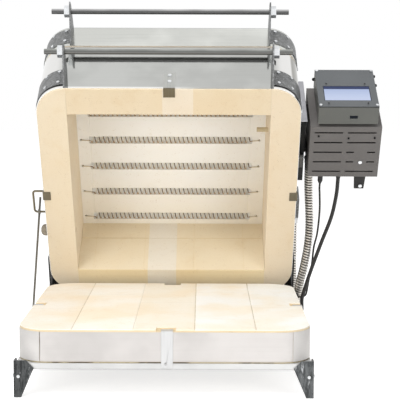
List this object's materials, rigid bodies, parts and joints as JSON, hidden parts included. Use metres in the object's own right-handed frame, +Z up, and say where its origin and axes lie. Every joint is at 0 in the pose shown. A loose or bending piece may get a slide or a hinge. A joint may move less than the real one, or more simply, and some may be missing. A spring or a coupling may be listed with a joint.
{
  "type": "bead annealing kiln",
  "caption": "Square clamshell kiln of fire brick in steel, hinged shell propped open on a low stand, with lid elements, handle rods, control box and mains cord.",
  "frame": {"origin": "middle of the whole part's bounds seen from above, at bench height", "axes": "+X to the kiln's right as seen from the front, +Y to the rear, +Z up"},
  "size_m": [0.7493, 0.8084, 0.7556],
  "materials": {
    "brick": "porous fire brick, matte",
    "insulation_board": "matte fibre board",
    "stainless_jacket": "bright rolled stainless sheet",
    "grey_steel": "grey satin coat",
    "handle_steel": "dull ground rod",
    "bright_fasteners": "bright zinc",
    "black_steel": "black satin coat",
    "zinc_bracket": "pale zinc sheet",
    "box_paint": "grey satin paint",
    "controller_shell": "grey satin paint",
    "display": "dark screen glass",
    "black_plastic": "matte black",
    "cord_rubber": "matte black jacket",
    "conduit_metal": "ribbed bright strip",
    "element_wire": "oxidised resistance wire",
    "ceramic_tube": "dense matte ceramic"
  },
  "bodies": {
    "base": {"floor_bricks": "brick", "base_band": "stainless_jacket", "base_band_front": "stainless_jacket", "rim_straps": "stainless_jacket", "stand_frame": "grey_steel", "front_legs": "grey_steel", "rear_legs": "grey_steel", "stand_screws": "bright_fasteners", "base_hinge_plates": "black_steel", "hinge_bolts": "bright_fasteners", "prop_catch": "grey_steel", "mains_cord_lower": "cord_rubber", "mains_coil": "cord_rubber", "mains_plug": "black_plastic"},
    "ring": {"wall_left": "brick", "wall_right": "brick", "wall_front": "brick", "wall_rear": "brick", "ring_jacket": "stainless_jacket", "ring_bracket_left": "grey_steel", "ring_bracket_right": "grey_steel", "ring_handle_rod": "handle_steel", "face_clips": "stainless_jacket", "ring_fasteners": "bright_fasteners", "ring_hinge_plates": "black_steel", "ring_rear_brackets": "grey_steel", "prop_bail": "handle_steel", "thermocouple": "ceramic_tube", "side_bushing": "ceramic_tube", "control_bracket": "zinc_bracket", "control_standoff": "black_steel", "relay_box": "box_paint", "relay_box_cover": "box_paint", "relay": "black_plastic", "cable_tab": "black_steel", "cord_glands": "black_plastic", "box_conduit_fitting": "conduit_metal", "controller_housing": "controller_shell", "controller_bezel": "controller_shell", "display_screen": "display", "hinge_switch": "black_plastic", "conduit": "conduit_metal", "mains_cord_upper": "cord_rubber", "sensor_cable": "cord_rubber"},
    "lid": {"lid_bricks": "brick", "lid_insulation": "insulation_board", "lid_jacket": "stainless_jacket", "lid_cover": "stainless_jacket", "heating_elements": "element_wire", "lid_bracket_left": "grey_steel", "lid_bracket_right": "grey_steel", "lid_handle_rod": "handle_steel", "lid_rear_brackets": "grey_steel", "lid_hinge_rod": "handle_steel", "terminal_cover": "grey_steel", "lid_conduit_fitting": "conduit_metal", "lid_fasteners": "bright_fasteners"},
    "prop": {"prop_rod": "handle_steel"},
    "plug": {"peephole_plug": "black_plastic"}
  },
  "joints": [
    {"name": "shell_hinge", "type": "hinge", "parent": "base", "child": "ring", "pos_m": [-0.0735, 0.15131, 0.079], "axis": [1, 0, 0], "range_deg": [0, 57.7]},
    {"name": "lid_hinge", "type": "hinge", "parent": "ring", "child": "lid", "pos_m": [-0.0735, 0.35027, 0.18348], "axis": [-1, 0, 0], "range_deg": [0, 75]},
    {"name": "prop_swing", "type": "hinge", "parent": "ring", "child": "prop", "pos_m": [-0.3635, 0.08574, 0.29782], "axis": [1, 0, 0], "range_deg": [-103.86, 0]},
    {"name": "peephole_slide", "type": "slide", "parent": "ring", "child": "plug", "axis": [-1, 0, 0], "range_m": [0, 0.07]}
  ],
  "couplings": [
    {"joint": "prop_swing", "follows": "shell_hinge", "ratio": -1.8}
  ]
}
